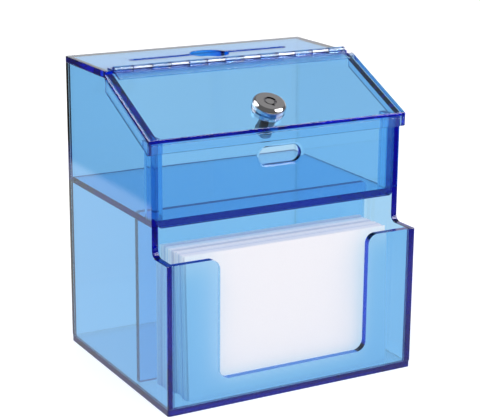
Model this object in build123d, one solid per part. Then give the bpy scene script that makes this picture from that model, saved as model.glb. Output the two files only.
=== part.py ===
from build123d import *
import math
import os

# A desk ballot box of tinted acrylic sheet: a locked box with a slot on top,
# a sloping lid on a knuckled hinge, and a card pocket in front below.
# Millimetres. X runs across, Y from the pocket at the front to the back, Z up.
# The origin is the middle of the base, on the surface that the box stands on.

# Cards, which set the box's width and the heights of the pocket and the shelf
card_width = 139.7
card_height = 88.9
card_thickness = 0.6
card_shift = 0.8
card_side_room = 11.65
card_head_room = 16.1
card_stand_out = 0.9
front_card_distance = 7.0
front_card_lean_degrees = 2.5
front_card_gap = 1.6
pack_gap = 1.1
pack_thicknesses = [5.6, 6.2, 5.4, 5.8, 4.6]
pack_shifts = [0.3, 0.9, -0.2, 0.7, 0.1]
pack_drops = [0.0, 0.5, 0.0, 0.8, 0.0]
pack_lean_shares = [0.84, 0.6, 0.44, 0.24, 0.0]
resting_gap = 0.05

# Box, with the locked compartment from the shelf's upper face to the top
body_depth = 144.0
compartment_height = 78.0
sheet = 4.0
glue_line = 0.05
foot_corner_radius = 1.3

# Card pocket
pocket_step = 20.0
step_radius = 4.5
cutout_margin = 30.0
cutout_sill = 13.0
cutout_top_radius = 6.2
cutout_bottom_radius = 6.6
divider_distance = 47.0
divider_side_gap = 2.5
divider_corner_radius = 2.5

# Front wall of the locked box
wall_corner_radius = 2.5
corner_strip_width = 4.0
corner_strip_depth = 8.0
keeper_drop = 15.5
keeper_length = 32.6
keeper_width = 14.3
keeper_rounding = 1.9
keeper_back_rounding = 0.8

# Top panel, and the ridge where its plane meets the lid's plane
ridge_setback = 64.0
ballot_slot_length = 112.4
ballot_slot_width = 4.8
ballot_slot_setback = 31.6
finger_hole_diameter = 25.4

# Lid
lid_fall = 28.9
lid_sheet = 3.0
lip_sheet = 2.0
lid_clearance = 0.3
lid_bevel = 0.6
lip_drop = 8.7
flange_drop = 10.3

# Hinge
knuckle_count = 13
knuckle_diameter = 4.6
knuckle_clearance = 0.3
knuckle_gap = 0.3
axis_rise = 0.9
hinge_end_inset = 4.0
leaf_thickness = 1.0
leaf_reach = 9.1
pin_diameter = 1.6
pin_bore_clearance = 0.03
pin_end_inset = 0.4

# Cam lock
lock_setback = 19.3
head_diameter = 21.2
head_height = 4.6
head_rim_height = 1.3
head_face_diameter = 15.8
head_shoulder_diameter = 19.9
head_shoulder_height = 3.6
barrel_diameter = 16.0
barrel_flats = 14.0
barrel_length = 6.5
lid_hole_clearance = 0.2
keyway_diameter = 8.0
keyway_depth = 5.4
keyway_notch_width = 1.6
keyway_notch_reach = 1.2
keyway_notch_depth = 1.4
post_diameter = 5.4
post_recess = 0.4
plug_diameter = 11.9
running_gap = 0.05
ring_thickness = 1.0
spindle_diameter = 5.5
drive_square = 3.8
drive_clearance = 0.05
washer_diameter = 21.0
washer_thickness = 0.9
nut_diameter = 20.0
nut_thickness = 2.2
nut_bevel = 0.5
nut_notch_count = 6
nut_notch_width = 2.6
nut_notch_depth = 1.2
thread_clearance = 0.1
cam_thickness = 2.0
cam_hub_radius = 5.0
cam_tip_radius = 4.5
cam_tip_inset = 1.5
cam_rest_degrees = 45.0
screw_head_diameter = 6.5
screw_head_height = 2.0
screw_head_bevel = 0.8
screw_diameter = 2.5
screw_length = 6.0

# Places that follow from the sizes above
front_y = -body_depth / 2
back_y = body_depth / 2
inner_x = card_width / 2 + card_side_room
side_x = inner_x + sheet
panel_x = inner_x - glue_line
floor_z = sheet
pocket_height = floor_z + card_height - card_stand_out
shelf_height = floor_z + card_height + card_head_room
wall_y = front_y + pocket_step
ridge_y = back_y - ridge_setback
shelf_top_z = shelf_height + sheet
top_height = shelf_top_z + compartment_height
side_top_z = top_height - sheet

# The sloping plane of the lid, from its front edge to the ridge
lid_front_y = wall_y - lid_clearance - lip_sheet
lid_front_height = top_height - lid_fall
lid_tilt = math.atan2(top_height - lid_front_height, ridge_y - lid_front_y)
slope_cos = math.cos(lid_tilt)
slope_sin = math.sin(lid_tilt)
lid_origin = Vector(0, lid_front_y, lid_front_height)
lid_normal = Vector(0, -slope_sin, slope_cos)
lid_uphill = Vector(0, slope_cos, slope_sin)
lid_half_width = side_x + lid_clearance + lip_sheet

# Hinge axis, at one height over the lid's plane and over the top panel. Both
# sheets end short of the ridge, so that the knuckles turn between them.
axis_y = ridge_y - axis_rise * math.tan(lid_tilt / 2)
axis_z = top_height + axis_rise
knuckle_room = knuckle_diameter / 2 + knuckle_clearance
top_front_y = axis_y + math.sqrt(knuckle_room**2 - axis_rise**2)
lid_rear_y = ridge_y - (top_front_y - ridge_y) * slope_cos
hinge_length = 2 * (side_x - hinge_end_inset)
knuckle_pitch = hinge_length / knuckle_count


def lid_height(y, depth):
    """Height at y of a plane that lies this depth below the lid's upper face."""
    return lid_front_height + (y - lid_front_y) * math.tan(lid_tilt) - depth / slope_cos


# The sides and the wall stop just under the lid
rim_depth = lid_sheet + lid_clearance
wall_top_z = lid_height(wall_y, rim_depth)
side_slope_end_y = lid_front_y + (side_top_z - lid_height(lid_front_y, rim_depth)) / math.tan(lid_tilt)

# Cam lock: the cam's plane meets the middle of the keeper slot
keeper_height = wall_top_z - keeper_drop
keeper_centre = Vector(0, wall_y + sheet / 2, keeper_height)
cam_drop = (lid_origin - keeper_centre).dot(lid_normal)
keeper_along = (keeper_centre - lid_origin).dot(lid_uphill)
cam_tip_y = wall_y + cam_tip_inset
cam_reach = lock_setback - keeper_along + (keeper_centre.Y - cam_tip_y) / slope_cos
lock_origin = lid_origin + lid_uphill * lock_setback
lock_plane = Plane(origin=lock_origin, x_dir=(1, 0, 0), z_dir=lid_normal)


def flat_sheet(low, high):
    """A cut sheet with square edges, from its low corner to its high corner."""
    span = Vector(*high) - Vector(*low)
    corner = (Align.MIN, Align.MIN, Align.MIN)
    return Pos(*low) * Box(span.X, span.Y, span.Z, align=corner)


def profile_sheet(points, x_low, x_high):
    """A sheet cut to an outline in Y and Z that runs across from x_low to x_high."""
    face = Plane.YZ * Polygon(*points, align=None)
    return Pos(x_low, 0, 0) * extrude(face, amount=x_high - x_low, dir=(1, 0, 0))


def nearest_edges(solid, direction, places):
    """The straight edges along one direction that pass nearest to the given places."""
    edges = solid.edges().filter_by(direction)
    return [edges.sort_by_distance(place)[0] for place in places]


def make_base():
    """The base carries every upright sheet, with softened corners."""
    base = flat_sheet((-side_x, front_y, 0), (side_x, back_y, floor_z))
    return fillet(base.edges().filter_by(Axis.Z), foot_corner_radius)


def make_side(x_low):
    """A side panel: low at the pocket, a rounded step, then the slope under the lid."""
    low_z = floor_z + glue_line
    points = [
        (front_y, low_z),
        (front_y, pocket_height),
        (wall_y, pocket_height),
        (wall_y, wall_top_z),
        (side_slope_end_y, side_top_z),
        (back_y - sheet - glue_line, side_top_z),
        (back_y - sheet - glue_line, low_z),
    ]
    panel = profile_sheet(points, x_low, x_low + sheet)
    step = nearest_edges(panel, Axis.X, [(x_low, wall_y, pocket_height)])
    return fillet(step, step_radius)


def make_back():
    """The back panel covers the rear edges of both sides."""
    return flat_sheet((-side_x, back_y - sheet, floor_z + glue_line), (side_x, back_y, side_top_z))


def make_top():
    """The top panel lies on the sides and the back, with the slot and its round hole."""
    panel = flat_sheet((-side_x, top_front_y, side_top_z + glue_line), (side_x, back_y, top_height))
    slot = SlotOverall(ballot_slot_length, ballot_slot_width) + Circle(finger_hole_diameter / 2)
    slot_y = ridge_y + ballot_slot_setback
    cutter = Pos(0, slot_y, side_top_z - sheet) * extrude(slot, amount=sheet * 3)
    return panel - cutter


def make_shelf():
    """The shelf is the floor of the locked box."""
    low = (-panel_x, wall_y + sheet + glue_line, shelf_height)
    high = (panel_x, back_y - sheet - glue_line, shelf_top_z)
    return flat_sheet(low, high)


def make_wall():
    """The front wall covers the shelf's front edge and holds the lock's keeper slot."""
    wall = flat_sheet((-panel_x, wall_y, shelf_height), (panel_x, wall_y + sheet, wall_top_z))
    corners = nearest_edges(wall, Axis.Y, [(x, wall_y, shelf_height) for x in (-panel_x, panel_x)])
    wall = fillet(corners, wall_corner_radius)
    throat = SlotOverall(keeper_length - 2 * keeper_rounding, keeper_width - 2 * keeper_rounding)
    cutter = Pos(0, wall_y - sheet, keeper_height) * extrude(Plane.XZ * throat, amount=-sheet * 3)
    wall -= cutter
    for face_y, radius in ((wall_y, keeper_rounding), (wall_y + sheet, keeper_back_rounding)):
        face = wall.faces().filter_by(Axis.Y).sort_by_distance((0, face_y, keeper_height))
        wall = fillet(face[0].inner_wires()[0].edges(), radius)
    return wall


def make_corner_strip(x_low):
    """A square strip stiffens the joint of the front wall with one side."""
    low = (x_low, wall_y + sheet + glue_line, shelf_top_z + glue_line)
    high = (x_low + corner_strip_width, low[1] + corner_strip_depth, wall_top_z)
    return flat_sheet(low, high)


def make_pocket_front():
    """The pocket's front with its wide U cut-out, rounded at the rim and the bottom."""
    front = flat_sheet((-panel_x, front_y, floor_z + glue_line), (panel_x, front_y + sheet, pocket_height))
    half = inner_x - cutout_margin
    cutout_bottom = floor_z + cutout_sill
    low = (-half, front_y - sheet, cutout_bottom)
    high = (half, front_y + 2 * sheet, pocket_height + sheet)
    front -= flat_sheet(low, high)
    bottom = nearest_edges(front, Axis.Y, [(x, front_y, cutout_bottom) for x in (-half, half)])
    front = fillet(bottom, cutout_bottom_radius)
    rim = nearest_edges(front, Axis.Y, [(x, front_y, pocket_height) for x in (-half, half)])
    return fillet(rim, cutout_top_radius)


def make_divider():
    """The pocket's back wall, up to the shelf, a little narrower than the box."""
    half = inner_x - divider_side_gap
    low_y = front_y + divider_distance
    high_z = shelf_height - glue_line
    wall = flat_sheet((-half, low_y, floor_z + glue_line), (half, low_y + sheet, high_z))
    corners = nearest_edges(wall, Axis.Y, [(x, low_y, high_z) for x in (-half, half)])
    return fillet(corners, divider_corner_radius)


def make_lid_panel():
    """The sloping lid sheet, bevelled on three sides, with the lock's double-flat hole."""
    points = [
        (lid_front_y, lid_front_height),
        (lid_rear_y, lid_height(lid_rear_y, 0)),
        (lid_rear_y, lid_height(lid_rear_y, lid_sheet)),
        (lid_front_y, lid_height(lid_front_y, lid_sheet)),
    ]
    panel = profile_sheet(points, -lid_half_width, lid_half_width)
    upper_face = panel.faces().sort_by_distance(lock_origin)[0]
    front_and_sides = upper_face.edges().sort_by(Axis.Y)[:-1]
    panel = chamfer(front_and_sides, lid_bevel)
    hole = extrude(barrel_outline(lid_hole_clearance), amount=lid_sheet * 3, both=True)
    return panel - lock_plane * hole


def make_lid_lip():
    """The lip hangs from the lid's front edge, just in front of the wall."""
    inner_y = lid_front_y + lip_sheet
    low_z = lid_front_height - lip_drop
    points = [
        (lid_front_y, low_z),
        (lid_front_y, lid_height(lid_front_y, lid_sheet) - glue_line),
        (inner_y, lid_height(inner_y, lid_sheet) - glue_line),
        (inner_y, low_z),
    ]
    return profile_sheet(points, -lid_half_width, lid_half_width)


def make_lid_flange(x_low):
    """A side flange hangs from the lid just outside one side panel."""
    low_y = lid_front_y + lip_sheet + glue_line
    points = [
        (low_y, lid_height(low_y, 0) - flange_drop),
        (low_y, lid_height(low_y, lid_sheet) - glue_line),
        (lid_rear_y, lid_height(lid_rear_y, lid_sheet) - glue_line),
        (lid_rear_y, lid_height(lid_rear_y, 0) - flange_drop),
    ]
    return profile_sheet(points, x_low, x_low + lip_sheet)


def knuckle_span(index):
    """Where one knuckle starts and ends along the hinge."""
    start = -hinge_length / 2 + index * knuckle_pitch
    return start + knuckle_gap / 2, start + knuckle_pitch - knuckle_gap / 2


def make_leaf(plane, indices):
    """A hinge leaf: a strip on the sheet, and a foot and a barrel for each own knuckle."""
    low_z = glue_line - axis_rise
    high_z = low_z + leaf_thickness
    start_x = knuckle_span(0)[0]
    leaf = flat_sheet((start_x, knuckle_room, low_z), (-start_x, leaf_reach, high_z))
    for index in indices:
        x_low, x_high = knuckle_span(index)
        foot = flat_sheet((x_low, 0, low_z), (x_high, knuckle_room, high_z))
        round_face = Plane.YZ * Circle(knuckle_diameter / 2)
        barrel = Pos(x_low, 0, 0) * extrude(round_face, amount=x_high - x_low)
        leaf += foot + barrel
    bore = Plane.YZ * Circle(pin_diameter / 2 + pin_bore_clearance)
    leaf -= extrude(bore, amount=hinge_length, both=True)
    return plane * leaf


def make_lid_leaf():
    """The lid's leaf lies on the lid and has the odd knuckles, both end ones too."""
    downhill = Plane(origin=(0, axis_y, axis_z), x_dir=(-1, 0, 0), z_dir=lid_normal)
    return make_leaf(downhill, range(0, knuckle_count, 2))


def make_top_leaf():
    """The top panel's leaf lies on the top panel and has the knuckles between."""
    level = Plane(origin=(0, axis_y, axis_z), x_dir=(1, 0, 0), z_dir=(0, 0, 1))
    return make_leaf(level, range(1, knuckle_count, 2))


def make_pin():
    """The hinge pin runs through every knuckle."""
    length = hinge_length - 2 * pin_end_inset
    round_face = Plane.YZ * Circle(pin_diameter / 2)
    return Pos(-length / 2, axis_y, axis_z) * extrude(round_face, amount=length)


def barrel_outline(clearance):
    """The lock barrel's section: a circle with two flats, widened by a clearance."""
    size = barrel_diameter + 2 * clearance
    return Circle(size / 2) & Rectangle(barrel_flats + 2 * clearance, size)


def disc(diameter, low, high):
    """A round disc on the lock's axis between two heights."""
    return Pos(0, 0, low) * extrude(Circle(diameter / 2), amount=high - low)


def make_lock_housing():
    """The lock's domed head and its barrel through the lid, with a ring-shaped keyway."""
    rim_end = (head_diameter / 2, head_rim_height)
    shoulder = (head_shoulder_diameter / 2, head_shoulder_height)
    face_end = (head_face_diameter / 2, head_height)
    dome = ThreePointArc(rim_end, shoulder, face_end)
    rest = Polyline(face_end, (0, head_height), (0, glue_line), (head_diameter / 2, glue_line), rim_end)
    head = revolve(Plane.XZ * make_face((dome + rest).edges()), Axis.Z)
    barrel = Pos(0, 0, -barrel_length) * extrude(
        barrel_outline(0), amount=barrel_length + head_rim_height
    )
    housing = head + barrel
    shoulder = head_height - keyway_depth
    housing -= disc(keyway_diameter, shoulder - running_gap, head_height + head_rim_height)
    housing -= disc(plug_diameter + 2 * running_gap, -barrel_length - ring_thickness, shoulder)
    reach = keyway_diameter / 2 + keyway_notch_reach
    notch_low = (-keyway_notch_width / 2, -reach, head_height - keyway_notch_depth)
    notch_high = (keyway_notch_width / 2, 0, head_height + head_rim_height)
    return lock_plane * (housing - flat_sheet(notch_low, notch_high))


def make_lock_plug():
    """The plug: the key's post, the round body, the spindle and a square for the cam."""
    shoulder = head_height - keyway_depth - running_gap
    body_end = ring_thickness + running_gap - barrel_length
    cam_top = cam_thickness / 2 - cam_drop
    post = disc(post_diameter, shoulder, head_height - post_recess)
    body = disc(plug_diameter, body_end, shoulder)
    spindle = disc(spindle_diameter, cam_top + running_gap, body_end)
    square_end = cam_top - cam_thickness + running_gap
    square = Rot(0, 0, -cam_rest_degrees) * Rectangle(drive_square, drive_square)
    drive = Pos(0, 0, square_end) * extrude(square, amount=cam_thickness)
    plug = post + body + spindle + drive
    thread_hole = disc(screw_diameter + 2 * drive_clearance, square_end, square_end + screw_length)
    return lock_plane * (plug - thread_hole)


def make_lock_ring():
    """A ring in the barrel's end keeps the plug in."""
    low = -barrel_length
    ring = disc(plug_diameter + running_gap, low, low + ring_thickness)
    ring -= disc(spindle_diameter + 2 * running_gap, low, low + ring_thickness)
    return lock_plane * ring


def make_lock_washer():
    """The washer under the lid."""
    high = -lid_sheet - glue_line
    low = high - washer_thickness
    washer = disc(washer_diameter, low, high)
    washer -= disc(barrel_diameter + 2 * thread_clearance, low, high)
    return lock_plane * washer


def make_lock_nut():
    """The low ring nut clamps the lock: a bevelled lower edge and notches for a spanner."""
    high = -lid_sheet - washer_thickness - 2 * glue_line
    low = high - nut_thickness
    nut = disc(nut_diameter, low, high)
    nut = chamfer(nut.edges().sort_by(Axis.Z)[0], nut_bevel)
    nut -= disc(barrel_diameter + 2 * thread_clearance, low, high)
    notch = Pos(0, 0, low) * Box(2 * nut_notch_depth, nut_notch_width, 2 * nut_thickness)
    for place in PolarLocations(nut_diameter / 2, nut_notch_count):
        nut -= place * notch
    return lock_plane * nut


def make_cam():
    """The flat cam, turned out of sight behind the head: a round hub, an arm and a tip."""
    tip = Pos(0, cam_reach - cam_tip_radius) * Circle(cam_tip_radius)
    outline = make_hull((Circle(cam_hub_radius) + tip).edges())
    hole = drive_square + 2 * drive_clearance
    outline -= Rectangle(hole, hole)
    low = -cam_drop - cam_thickness / 2
    cam = Pos(0, 0, low) * extrude(outline, amount=cam_thickness)
    return lock_plane * Rot(0, 0, -cam_rest_degrees) * cam


def make_cam_screw():
    """A round-headed screw holds the cam on the plug."""
    seat = -cam_drop - cam_thickness / 2 - glue_line
    head = disc(screw_head_diameter, seat - screw_head_height, seat)
    head = chamfer(head.edges().sort_by(Axis.Z)[0], screw_head_bevel)
    shank = disc(screw_diameter, seat, seat + screw_length - cam_thickness / 2)
    return lock_plane * (head + shank)


def card_block(distance, thickness, height, lean, shift):
    """Cards on edge: their lower edges are level and their faces lean back."""
    low_y = front_y + distance
    low_z = floor_z + resting_gap
    rise = height * math.cos(math.radians(lean))
    back = height * math.sin(math.radians(lean))
    points = [
        (low_y, low_z),
        (low_y + back, low_z + rise),
        (low_y + thickness + back, low_z + rise),
        (low_y + thickness, low_z),
    ]
    return profile_sheet(points, shift - card_width / 2, shift + card_width / 2)


def make_card_packs():
    """Packs of cards from front to back, each a little out of line with the last."""
    packs = {}
    distance = front_card_distance + card_thickness + front_card_gap
    sizes = zip(pack_thicknesses, pack_drops, pack_lean_shares, pack_shifts)
    for number, (thickness, drop, share, shift) in enumerate(sizes, start=1):
        lean = front_card_lean_degrees * share
        height = card_height - drop
        packs[f"card_pack_{number}"] = card_block(distance, thickness, height, lean, shift)
        distance += thickness + pack_gap
    return packs


def make_pieces():
    """Every piece under its name."""
    pieces = {
        "base_panel": make_base(),
        "left_side_panel": make_side(-side_x),
        "right_side_panel": make_side(inner_x),
        "back_panel": make_back(),
        "top_panel": make_top(),
        "shelf": make_shelf(),
        "front_wall": make_wall(),
        "left_corner_strip": make_corner_strip(-panel_x),
        "right_corner_strip": make_corner_strip(panel_x - corner_strip_width),
        "pocket_front": make_pocket_front(),
        "pocket_divider": make_divider(),
        "lid_panel": make_lid_panel(),
        "lid_front_lip": make_lid_lip(),
        "lid_left_flange": make_lid_flange(-lid_half_width),
        "lid_right_flange": make_lid_flange(lid_half_width - lip_sheet),
        "hinge_lid_leaf": make_lid_leaf(),
        "hinge_top_leaf": make_top_leaf(),
        "hinge_pin": make_pin(),
        "lock_housing": make_lock_housing(),
        "lock_plug": make_lock_plug(),
        "lock_ring": make_lock_ring(),
        "lock_washer": make_lock_washer(),
        "lock_nut": make_lock_nut(),
        "lock_cam": make_cam(),
        "cam_screw": make_cam_screw(),
        "front_card": card_block(
            front_card_distance, card_thickness, card_height, front_card_lean_degrees, card_shift
        ),
    }
    pieces.update(make_card_packs())
    return pieces


os.makedirs("parts", exist_ok=True)
for name, solid in make_pieces().items():
    export_step(solid, f"parts/{name}.step")
print("hinge axis", round(axis_y, 3), round(axis_z, 3))
print("lid tilt", round(math.degrees(lid_tilt), 3))
print("lock axis through", [round(value, 3) for value in lock_origin])
print("cam below the lid", round(cam_drop, 2), "cam reach", round(cam_reach, 2))
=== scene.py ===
import math
import random

import bmesh
import bpy
from mathutils import Matrix, Vector


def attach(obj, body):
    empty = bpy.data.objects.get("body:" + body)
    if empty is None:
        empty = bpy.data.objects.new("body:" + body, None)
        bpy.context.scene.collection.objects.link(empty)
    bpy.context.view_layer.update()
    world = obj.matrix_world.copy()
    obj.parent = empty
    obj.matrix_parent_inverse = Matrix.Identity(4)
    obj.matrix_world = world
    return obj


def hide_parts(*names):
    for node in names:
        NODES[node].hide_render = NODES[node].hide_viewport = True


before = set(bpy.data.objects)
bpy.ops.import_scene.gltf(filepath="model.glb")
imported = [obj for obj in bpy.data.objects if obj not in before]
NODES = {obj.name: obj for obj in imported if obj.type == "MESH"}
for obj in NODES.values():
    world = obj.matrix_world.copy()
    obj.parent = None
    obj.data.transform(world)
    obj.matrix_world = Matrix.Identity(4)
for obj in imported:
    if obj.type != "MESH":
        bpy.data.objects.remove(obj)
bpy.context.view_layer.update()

MM = 0.001
SCENE = bpy.context.scene

# The photograph's camera: to the box's left and a little above it, with angles in degrees
CAMERA_AZIMUTH = -29.0
CAMERA_ELEVATION = 15.76
CAMERA_ROLL = 0.40
CAMERA_DISTANCE = 962.5 * MM
CAMERA_TARGET = Vector((11.0, 17.5, 90.9)) * MM
CAMERA_LENS = 111.2
CAMERA_SENSOR = 36

SHEETS = [
    "base_panel", "left_side_panel", "right_side_panel", "back_panel", "top_panel", "shelf",
    "front_wall", "left_corner_strip", "right_corner_strip", "pocket_front", "pocket_divider",
    "lid_panel", "lid_front_lip", "lid_left_flange", "lid_right_flange",
]
HINGE = ["hinge_lid_leaf", "hinge_top_leaf", "hinge_pin"]
CHROME = ["lock_housing", "lock_plug", "lock_washer", "lock_nut"]
ZINC = ["lock_ring", "lock_cam", "cam_screw"]

# The lid's upward direction, square to its sheet
LID_TILT = math.radians(24.886)
LID_NORMAL = Vector((0, -math.sin(LID_TILT), math.cos(LID_TILT)))

# Where the lock's axis passes the lid's top face, and a radius just over those of its key post and
# spindle, inside which the plug's sides get painted shade, in millimetres
LOCK_PLACE = Vector((0, -36.792, 170.222))
KEYWAY_SHADE_RADIUS = 2.8
KEYWAY_SHADE_BLEND = 0.1

# The ring around the key post, which clears post and keyway by 0.06, and its tumbler pins, in
# millimetres, with heights from the lid's top face
RING_INNER = 2.76
RING_OUTER = 3.94
RING_FLOOR = -0.8
RING_TOP = 2.7
RING_SIDES = 40
PIN_COUNT = 7
PIN_CIRCLE = 3.35
PIN_FOOT_RADIUS = 0.45
PIN_HEAD_RADIUS = 0.38
PIN_LENGTH = 0.4
PIN_RISE = 0.1
PIN_SIDES = 12

# Cards in millimetres and degrees: a pack is its distance from the box's front, thickness, lean,
# shift to the right and drop of the tops
CARD_WIDTH = 139.7
CARD_HEIGHT = 88.85
CARD_FRONT = -72.0
CARD_FLOOR = 4.08
CARD_PITCH = 0.56
CARD_FILL = 0.9
CARD_STRAY = 0.75
CARD_UNEVEN = 0.35
CARD_SHADES = (0.0, 0.1, 0.2, 0.35, 0.9)
PACKS = [
    (9.2, 5.6, 2.1, 0.3, 0.0), (15.9, 6.2, 1.5, 0.9, 0.5), (23.2, 5.4, 1.1, -0.2, 0.0),
    (29.7, 5.8, 0.6, 0.7, 0.8), (36.6, 4.6, 0.0, 0.1, 0.0),
]

# Soft boxes that only mirrors see: direction, the cosines of their soft edge, and brightness
SOFT_BOXES = [
    ((0.678, -0.60, 0.42), 0.915, 0.935, 5.0),
    ((-0.56, 0.41, 0.72), 0.925, 0.95, 7.0),
    ((0.62, -0.42, 0.66), 0.95, 0.965, 8.0),
    ((0.467, 0.336, 0.818), 0.80, 0.95, 0.28),
]

# The studio's plain level, its dark side and pale screen as mirrors see them, and the white backdrop
STUDIO_LIGHT = 0.8
DARK_SIDE = 0.12
PALE_SCREEN = 0.76
BACKDROP = 1.0

# Edge rounds and the growth that closes a glue line, in millimetres
SHEET_ROUND = 0.3
HINGE_ROUND = 0.25
GLUE_GROWTH = 0.1


def colour(code):
    """A hex sRGB colour as linear light."""
    parts = [int(code[i:i + 2], 16) / 255 for i in (1, 3, 5)]
    return [p / 12.92 if p <= 0.04045 else ((p + 0.055) / 1.055) ** 2.4 for p in parts] + [1.0]


def new_material(name):
    """An empty material and its node tree."""
    material = bpy.data.materials.new(name)
    material.use_nodes = True
    material.node_tree.nodes.clear()
    return material, material.node_tree


def add(tree, kind, inputs=None, **settings):
    """One node with its settings; each input is a plain value or a socket to link from."""
    made = tree.nodes.new("ShaderNode" + kind)
    for name, value in settings.items():
        setattr(made, name, value)
    for name, value in (inputs or {}).items():
        if isinstance(value, bpy.types.NodeSocket):
            tree.links.new(value, made.inputs[name])
        else:
            made.inputs[name].default_value = value
    return made


def largest(tree, *sockets):
    """The largest of several values."""
    result = sockets[0]
    for socket in sockets[1:]:
        result = add(tree, "Math", {0: result, 1: socket}, operation="MAXIMUM").outputs[0]
    return result


def step(tree, value, low, high, start, end):
    """A smooth step from start to end as the value goes from low to high."""
    made = add(tree, "MapRange", {
        "Value": value, "From Min": low, "From Max": high, "To Min": start, "To Max": end,
    }, interpolation_type="SMOOTHSTEP")
    return made.outputs[0]


def mixed(tree, share, first, second):
    """first where the share is 0 and second where it is 1."""
    made = add(tree, "Mix", {"Factor": share, "A": first, "B": second}, data_type="FLOAT")
    return made.outputs["Result"]


def rippled(tree, length, depth, detail=2.0):
    """A faint surface relief: noise of one wavelength and depth, in millimetres."""
    place = add(tree, "TexCoord")
    noise = add(tree, "TexNoise", {
        "Vector": place.outputs["Object"], "Scale": 1 / (length * MM), "Detail": detail,
    })
    bump = add(tree, "Bump", {"Height": noise.outputs[0], "Distance": depth * MM, "Strength": 1.0})
    return noise.outputs[0], bump.outputs["Normal"]


def straight_for_light(tree, seen, passing):
    """The seen finish, but light on its way to the cards passes straight, with the sheet's tint."""
    path = add(tree, "LightPath")
    lighting = largest(tree, path.outputs["Is Shadow Ray"], path.outputs["Is Diffuse Ray"])
    return add(tree, "MixShader", {0: lighting, 1: seen.outputs[0], 2: passing.outputs[0]})


def cast_acrylic():
    """Polished cast acrylic sheet: glassy and clear blue, deepest where the eye looks along it.

    Light on its way through loses its red first and then its green. A slight waviness, one ripple
    in 28 mm, bends what the sheet mirrors.
    """
    material, tree = new_material("cast_acrylic_sheet")
    relief = rippled(tree, 28.0, 0.006)[1]
    surface = add(tree, "BsdfPrincipled", {
        "Base Color": (1, 1, 1, 1), "Roughness": 0.0, "IOR": 1.49, "Transmission Weight": 1.0,
        "Normal": relief,
    })
    # Painted light: above 1 in red and green, this colour brightens the light that passes through the
    # sheet to the cards and floor
    passing = add(tree, "BsdfTransparent", {"Color": (1.08, 1.05, 0.99, 1)})
    both = straight_for_light(tree, surface, passing)
    tint = add(tree, "VolumeAbsorption", {"Color": (0.02, 0.62, 0.95, 1), "Density": 170.0})
    add(tree, "OutputMaterial", {"Surface": both.outputs[0], "Volume": tint.outputs[0]})
    return material


def moulded_plastic(name, top_colour, low_colour, line_share, gloss):
    """Moulded clear styrene: glassy knuckles, painted light paler on top and deeper below, and painted
    shade at their ends.

    The line share is 1 for the leaf whose knuckles get a painted shade line above their foot, and the
    gloss is the share of the soft, white shine that a moulded skin has.
    """
    material, tree = new_material(name)
    relief = rippled(tree, 4.0, 0.002)[1]
    place = add(tree, "TexCoord")
    split = add(tree, "SeparateXYZ", {0: place.outputs["Normal"]})
    across = add(tree, "Math", {0: split.outputs["X"]}, operation="ABSOLUTE").outputs[0]
    # Painted light: the knuckle's colour is paler where its surface faces up and deeper where it faces
    # down
    depth = add(tree, "Mix", {
        "Factor": step(tree, split.outputs["Z"], 0.1, 0.8, 0.0, 1.0),
        "A": colour(low_colour), "B": colour(top_colour),
    }, data_type="RGBA").outputs["Result"]
    # Painted shade: the dark line above a knuckle's foot, and those at both of its ends, where the
    # gloss is taken away too
    below = step(tree, split.outputs["Z"], -0.2, -0.05, 0.0, line_share)
    under = step(tree, split.outputs["Z"], 0.1, 0.3, 1.0, 0.0)
    line = add(tree, "Math", {0: below, 1: under}, operation="MULTIPLY").outputs[0]
    ends = step(tree, across, 0.1, 0.4, 0.0, 1.0)
    body = add(tree, "Mix", {
        "Factor": largest(tree, line, ends), "A": depth, "B": colour("#2F3F96"),
    }, data_type="RGBA").outputs["Result"]
    straight = add(tree, "BsdfTransparent", {"Color": body})
    surface = add(tree, "BsdfPrincipled", {
        "Base Color": body, "Roughness": 0.03, "IOR": 1.59, "Transmission Weight": 1.0,
        "Normal": relief,
    })
    shine = add(tree, "BsdfGlossy", {"Color": (1, 1, 1, 1), "Roughness": 0.12, "Normal": relief})
    clear = add(tree, "MixShader", {0: 0.68, 1: surface.outputs[0], 2: straight.outputs[0]})
    shown = add(tree, "MixShader", {
        0: mixed(tree, ends, gloss, 0.0), 1: clear.outputs[0], 2: shine.outputs[0],
    })
    both = straight_for_light(tree, shown, straight)
    add(tree, "OutputMaterial", {"Surface": both.outputs[0]})
    return material


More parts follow.
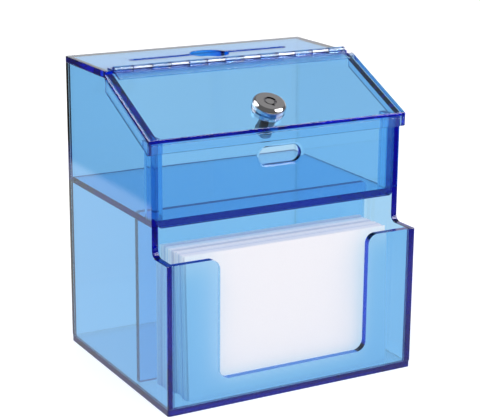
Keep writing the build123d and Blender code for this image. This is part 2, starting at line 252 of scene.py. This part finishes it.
def chrome_plate():
    """Chrome plate: mirror bright on the rounded rim, satin on the flat face.

    The satin grain is finer than a pixel, and is drawn at 0.45 mm so that it shows.
    """
    material, tree = new_material("chrome_plated_zinc")
    place = add(tree, "TexCoord")
    facing = add(tree, "VectorMath", {
        0: place.outputs["Normal"], 1: tuple(LID_NORMAL),
    }, operation="DOT_PRODUCT").outputs["Value"]
    satin = step(tree, facing, 0.998, 0.9997, 0.0, 1.0)
    grain, relief = rippled(tree, 0.45, 0.012, 3.0)
    polish = add(tree, "Math", {0: satin, 1: 0.10, 2: 0.05}, operation="MULTIPLY_ADD").outputs[0]
    shine = add(tree, "Math", {0: grain, 1: 0.06, 2: polish}, operation="MULTIPLY_ADD").outputs[0]
    # Painted shade: the plug's sides are coloured dark, the key post in the keyway and the spindle
    # below
    axis = add(tree, "VectorMath", {
        0: place.outputs["Object"], 1: tuple(LOCK_PLACE * MM),
    }, operation="SUBTRACT").outputs["Vector"]
    spoke = add(tree, "VectorMath", {0: axis, 1: tuple(LID_NORMAL)}, operation="CROSS_PRODUCT")
    radius = add(tree, "VectorMath", {0: spoke.outputs["Vector"]}, operation="LENGTH")
    blend_end = KEYWAY_SHADE_RADIUS + KEYWAY_SHADE_BLEND
    inner = step(tree, radius.outputs["Value"], KEYWAY_SHADE_RADIUS * MM, blend_end * MM, 1.0, 0.0)
    upright = step(tree, facing, 0.3, 0.5, 1.0, 0.0)
    painted_keyway_shade = add(tree, "Math", {0: inner, 1: upright}, operation="MULTIPLY").outputs[0]
    plate = add(tree, "Mix", {
        "Factor": painted_keyway_shade, "A": colour("#E6E4E6"), "B": colour("#1E1E22"),
    }, data_type="RGBA").outputs["Result"]
    surface = add(tree, "BsdfPrincipled", {
        "Base Color": plate, "Roughness": shine, "Metallic": 1.0, "Normal": relief,
    })
    add(tree, "OutputMaterial", {"Surface": surface.outputs[0]})
    return material


def zinc_plate():
    """Zinc plated steel: a duller grey on the cam and its screw, with faint 1.6 mm blotches."""
    material, tree = new_material("zinc_plated_steel")
    blotch, relief = rippled(tree, 1.6, 0.01, 4.0)
    tone = add(tree, "Mix", {
        "Factor": blotch, "A": colour("#A9ABB0"), "B": colour("#C6C8CC"),
    }, data_type="RGBA").outputs["Result"]
    surface = add(tree, "BsdfPrincipled", {
        "Base Color": tone, "Roughness": 0.32, "Metallic": 1.0, "Normal": relief,
    })
    add(tree, "OutputMaterial", {"Surface": surface.outputs[0]})
    return material


def card_stock():
    """Uncoated white card: matt and fibrous, each card of a pack a slightly different white.

    Its fibres are finer than a pixel, and are drawn at 0.5 mm so that they show.
    """
    material, tree = new_material("uncoated_white_card")
    fibre, relief = rippled(tree, 0.5, 0.02, 5.0)
    shade = add(tree, "Attribute", attribute_name="shade").outputs["Fac"]
    white = add(tree, "Mix", {
        "Factor": shade, "A": colour("#FBF9FF"), "B": colour("#D2D6EA"),
    }, data_type="RGBA").outputs["Result"]
    fleck = add(tree, "Mix", {
        "Factor": step(tree, fibre, 0.3, 0.75, 0.0, 0.06), "A": white, "B": colour("#B9BCCB"),
    }, data_type="RGBA").outputs["Result"]
    surface = add(tree, "BsdfPrincipled", {
        "Base Color": fleck, "Roughness": 0.7, "Normal": relief,
    })
    add(tree, "OutputMaterial", {"Surface": surface.outputs[0]})
    return material


def dark_steel_with_keyway_shade():
    """Dark grey steel with a dull, cloudy sheen, deep in the keyway; its darkness is partly the pins'
    own steel and partly painted shade.
    """
    material, tree = new_material("dark_steel_with_keyway_shade")
    cloud, relief = rippled(tree, 0.4, 0.01, 3.0)
    tone = add(tree, "Mix", {
        "Factor": cloud, "A": colour("#4C4C52"), "B": colour("#66666C"),
    }, data_type="RGBA").outputs["Result"]
    surface = add(tree, "BsdfPrincipled", {"Base Color": tone, "Roughness": 0.5, "Normal": relief})
    add(tree, "OutputMaterial", {"Surface": surface.outputs[0]})
    return material


def dress(node, material):
    """The node wears one material."""
    NODES[node].data.materials.clear()
    NODES[node].data.materials.append(material)


def soften_edges(piece, width, growth=0.0):
    """A small polished round on every sharp edge, with sizes in millimetres.

    Growth moves the faces out a little, so that glued sheets meet without an air gap.
    """
    join = piece.modifiers.new("joined_corners", "WELD")
    join.merge_threshold = 0.001 * MM
    if growth:
        grow = piece.modifiers.new("glued_faces", "DISPLACE")
        grow.strength = growth * MM
        grow.mid_level = 0.0
    bevel = piece.modifiers.new("softened_edges", "BEVEL")
    bevel.width = width * MM
    bevel.segments = 2
    bevel.limit_method = "ANGLE"
    bevel.angle_limit = math.radians(35)
    even = piece.modifiers.new("flat_faces_stay_flat", "WEIGHTED_NORMAL")
    even.weight = 100 if growth else 50


def new_piece(name, shape, material):
    """A new object in the scene, made from the shape and wearing the material."""
    mesh = bpy.data.meshes.new(name)
    shape.to_mesh(mesh)
    shape.free()
    mesh.materials.append(material)
    piece = bpy.data.objects.new(name, mesh)
    SCENE.collection.objects.link(piece)
    return piece


def around_lock(radius, turn, height):
    """A point around the lock's axis, at a radius, a share of a whole turn and a height."""
    angle = 2 * math.pi * turn
    return Vector((radius * math.cos(angle), radius * math.sin(angle), height))


def tumbler_ring(material):
    """The ring that stands in the keyway around the key post, with its seven tumbler pins; its dark
    steel also puts painted shade into the keyway.
    """
    uphill = Vector((0, math.cos(LID_TILT), math.sin(LID_TILT)))
    onto_lid = Matrix((Vector((1, 0, 0)), uphill, LID_NORMAL)).transposed()
    section = [
        (RING_INNER, RING_FLOOR), (RING_INNER, RING_TOP),
        (RING_OUTER, RING_TOP), (RING_OUTER, RING_FLOOR),
    ]
    shape = bmesh.new()
    rows = [
        [shape.verts.new(around_lock(radius, side / RING_SIDES, height)) for side in range(RING_SIDES)]
        for radius, height in section
    ]
    for row, following in zip(rows, rows[1:] + rows[:1]):
        for side in range(RING_SIDES):
            after = (side + 1) % RING_SIDES
            shape.faces.new((row[side], row[after], following[after], following[side]))
    for number in range(PIN_COUNT):
        middle = around_lock(PIN_CIRCLE, (number + 0.5) / PIN_COUNT, RING_TOP + PIN_RISE)
        bmesh.ops.create_cone(
            shape, cap_ends=True, segments=PIN_SIDES, radius1=PIN_FOOT_RADIUS,
            radius2=PIN_HEAD_RADIUS, depth=PIN_LENGTH, matrix=Matrix.Translation(middle),
        )
    bmesh.ops.recalc_face_normals(shape, faces=shape.faces)
    for corner in shape.verts:
        corner.co = (LOCK_PLACE + onto_lid @ corner.co) * MM
    ring = new_piece("tumbler_ring", shape, material)
    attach(ring, "lock_core")


def card_leaves(material, number, distance, thickness, lean_degrees, shift, drop):
    """One pack as separate cards, each a little out of line with its neighbours."""
    chance = random.Random(number)
    count = round(thickness / CARD_PITCH)
    pitch = thickness / count
    shape = bmesh.new()
    shade = shape.faces.layers.float.new("shade")
    lean = math.radians(lean_degrees)
    for index in range(count):
        across = shift + chance.uniform(-CARD_STRAY, CARD_STRAY)
        height = CARD_HEIGHT - drop - abs(chance.gauss(0, CARD_UNEVEN))
        front = CARD_FRONT + distance + index * pitch
        back = front + pitch * CARD_FILL
        tip = height * math.sin(lean)
        tone = chance.choice(CARD_SHADES)
        outline = [(front, 0), (back, 0), (back + tip, height), (front + tip, height)]
        left, right = [
            [shape.verts.new(Vector((x, y, CARD_FLOOR + z)) * MM) for y, z in outline]
            for x in (across - CARD_WIDTH / 2, across + CARD_WIDTH / 2)
        ]
        faces = [left[::-1], right]
        faces += [[left[i], left[(i + 1) % 4], right[(i + 1) % 4], right[i]] for i in range(4)]
        for face in faces:
            shape.faces.new(face)[shade] = tone
    bmesh.ops.recalc_face_normals(shape, faces=shape.faces)
    pack = new_piece(f"card_leaves_{number}", shape, material)
    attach(pack, "box")
    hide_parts(f"card_pack_{number}")


def camera_axes():
    """The camera's right, up and back directions."""
    azimuth, elevation, roll = map(math.radians, (CAMERA_AZIMUTH, CAMERA_ELEVATION, CAMERA_ROLL))
    back = Vector((
        math.sin(azimuth) * math.cos(elevation),
        -math.cos(azimuth) * math.cos(elevation),
        math.sin(elevation),
    ))
    right = (-back).cross(Vector((0, 0, 1))).normalized()
    up = right.cross(-back)
    return (
        right * math.cos(roll) + up * math.sin(roll),
        up * math.cos(roll) - right * math.sin(roll),
        back,
    )


def place_camera():
    """The scene's camera, at the photograph's angle and framing."""
    right, up, back = camera_axes()
    lens = bpy.data.cameras.new("camera")
    lens.lens = CAMERA_LENS
    lens.sensor_width = CAMERA_SENSOR
    lens.sensor_fit = "HORIZONTAL"
    camera = bpy.data.objects.new("camera", lens)
    turn = Matrix((right, up, back)).transposed().to_4x4()
    camera.matrix_world = Matrix.Translation(CAMERA_TARGET + back * CAMERA_DISTANCE) @ turn
    SCENE.collection.objects.link(camera)
    SCENE.camera = camera


def light_world():
    """The studio around the box: white behind it, even light on it, and what it mirrors.

    Mirrors see a dark studio with a pale screen low behind the box, and the soft boxes. What is
    seen through the acrylic is white, and dims upward.
    """
    world = bpy.data.worlds.new("studio")
    SCENE.world = world
    world.use_nodes = True
    tree = world.node_tree
    tree.nodes.clear()
    path = add(tree, "LightPath")
    place = add(tree, "TexCoord")
    split = add(tree, "SeparateXYZ", {0: place.outputs["Generated"]})
    refracted = step(tree, split.outputs["Z"], 0.1, 0.6, 1.0, 0.25)
    behind = step(tree, split.outputs["Y"], 0.1, 0.5, 0.0, 1.0)
    low = step(tree, split.outputs["Z"], 0.3, 0.55, 1.0, 0.0)
    screen = add(tree, "Math", {0: behind, 1: low}, operation="MULTIPLY").outputs[0]
    mirrored = add(tree, "Math", {
        0: screen, 1: PALE_SCREEN, 2: DARK_SIDE,
    }, operation="MULTIPLY_ADD").outputs[0]
    for direction, edge, full, brightness in SOFT_BOXES:
        near = add(tree, "VectorMath", {
            0: place.outputs["Generated"], 1: direction,
        }, operation="DOT_PRODUCT").outputs["Value"]
        mirrored = largest(tree, mirrored, step(tree, near, edge, full, 0.0, brightness))
    strength = mixed(tree, path.outputs["Is Glossy Ray"], STUDIO_LIGHT, mirrored)
    strength = mixed(tree, path.outputs["Is Transmission Ray"], strength, refracted)
    strength = mixed(tree, path.outputs["Is Camera Ray"], strength, BACKDROP)
    background = add(tree, "Background", {"Color": (1, 1, 1, 1), "Strength": strength})
    add(tree, "OutputWorld", {"Surface": background.outputs[0]})


def floor():
    """The plain pale floor, which keeps the box's shadow."""
    material, tree = new_material("pale_floor")
    path = add(tree, "LightPath")
    place = add(tree, "NewGeometry")
    split = add(tree, "SeparateXYZ", {0: place.outputs["Position"]})
    # Mirrors see a pale table that ends to the left and in front of the box, with places in metres
    left = step(tree, split.outputs["X"], -0.285, -0.268, 0.0, 1.0)
    front = step(tree, split.outputs["Y"], -0.42, -0.2, 0.0, 1.0)
    table = add(tree, "Math", {0: left, 1: front}, operation="MULTIPLY").outputs[0]
    # Through the acrylic the floor is pale everywhere
    table = largest(tree, table, path.outputs["Is Transmission Ray"])
    mirrored = add(tree, "Math", {0: table, 1: 0.85, 2: 0.1}, operation="MULTIPLY_ADD").outputs[0]
    direct = largest(tree, path.outputs["Is Camera Ray"], path.outputs["Is Transmission Ray"])
    glow = add(tree, "Math", {0: direct, 1: 0.5}, operation="MULTIPLY").outputs[0]
    matt = add(tree, "BsdfDiffuse", {"Color": colour("#E6E6E6")})
    light = add(tree, "Emission", {"Strength": glow})
    lit = add(tree, "AddShader", {0: matt.outputs[0], 1: light.outputs[0]})
    table_light = add(tree, "Emission", {"Strength": mirrored})
    both = add(tree, "MixShader", {
        0: path.outputs["Is Glossy Ray"], 1: lit.outputs[0], 2: table_light.outputs[0],
    })
    add(tree, "OutputMaterial", {"Surface": both.outputs[0]})
    half = 6.0
    shape = bmesh.new()
    corners = [(-half, -half, 0), (half, -half, 0), (half, half, 0), (-half, half, 0)]
    shape.faces.new([shape.verts.new(corner) for corner in corners])
    ground = new_piece("floor", shape, material)
    ground.location.z = -0.2 * MM


def lamp(name, place, size, power):
    """A rectangular lamp aimed at the box's middle; mirrors see the soft boxes and not the lamp."""
    data = bpy.data.lights.new(name, "AREA")
    data.shape = "RECTANGLE"
    data.size, data.size_y = size
    data.energy = power
    light = bpy.data.objects.new(name, data)
    light.location = place
    aim = Vector((0, 0, 0.1)) - Vector(place)
    light.rotation_mode = "QUATERNION"
    light.rotation_quaternion = aim.to_track_quat("-Z", "Y")
    light.visible_glossy = False
    SCENE.collection.objects.link(light)


acrylic = cast_acrylic()
# Two copies of one plastic, both with painted light on their knuckles; the top leaf's knuckles also
# get a painted shade line
lid_leaf_plastic = moulded_plastic("moulded_styrene_lid_leaf", "#EAF8FF", "#C6E6FC", 0.0, 0.06)
top_leaf_plastic = moulded_plastic("moulded_styrene_top_leaf", "#FAFCFF", "#D2E2F8", 1.0, 0.14)
chrome = chrome_plate()
zinc = zinc_plate()
paper = card_stock()
for name in SHEETS:
    dress(name, acrylic)
    soften_edges(NODES[name], SHEET_ROUND, growth=GLUE_GROWTH)
for name in HINGE:
    dress(name, lid_leaf_plastic if name == "hinge_lid_leaf" else top_leaf_plastic)
    soften_edges(NODES[name], HINGE_ROUND)
for name in CHROME:
    dress(name, chrome)
for name in ZINC:
    dress(name, zinc)
tumbler_ring(dark_steel_with_keyway_shade())
dress("front_card", paper)
for number, pack in enumerate(PACKS, start=1):
    card_leaves(paper, number, *pack)

place_camera()
light_world()
floor()
lamp("key_lamp", (-0.9, -0.9, 1.3), (0.9, 0.9), 7)
lamp("fill_lamp", (1.2, -0.6, 1.0), (0.8, 0.8), 3.5)

SCENE.view_settings.view_transform = "Standard"
SCENE.cycles.max_bounces = 40
SCENE.cycles.transmission_bounces = 40
SCENE.cycles.glossy_bounces = 24
SCENE.cycles.transparent_max_bounces = 32
SCENE.cycles.caustics_refractive = False
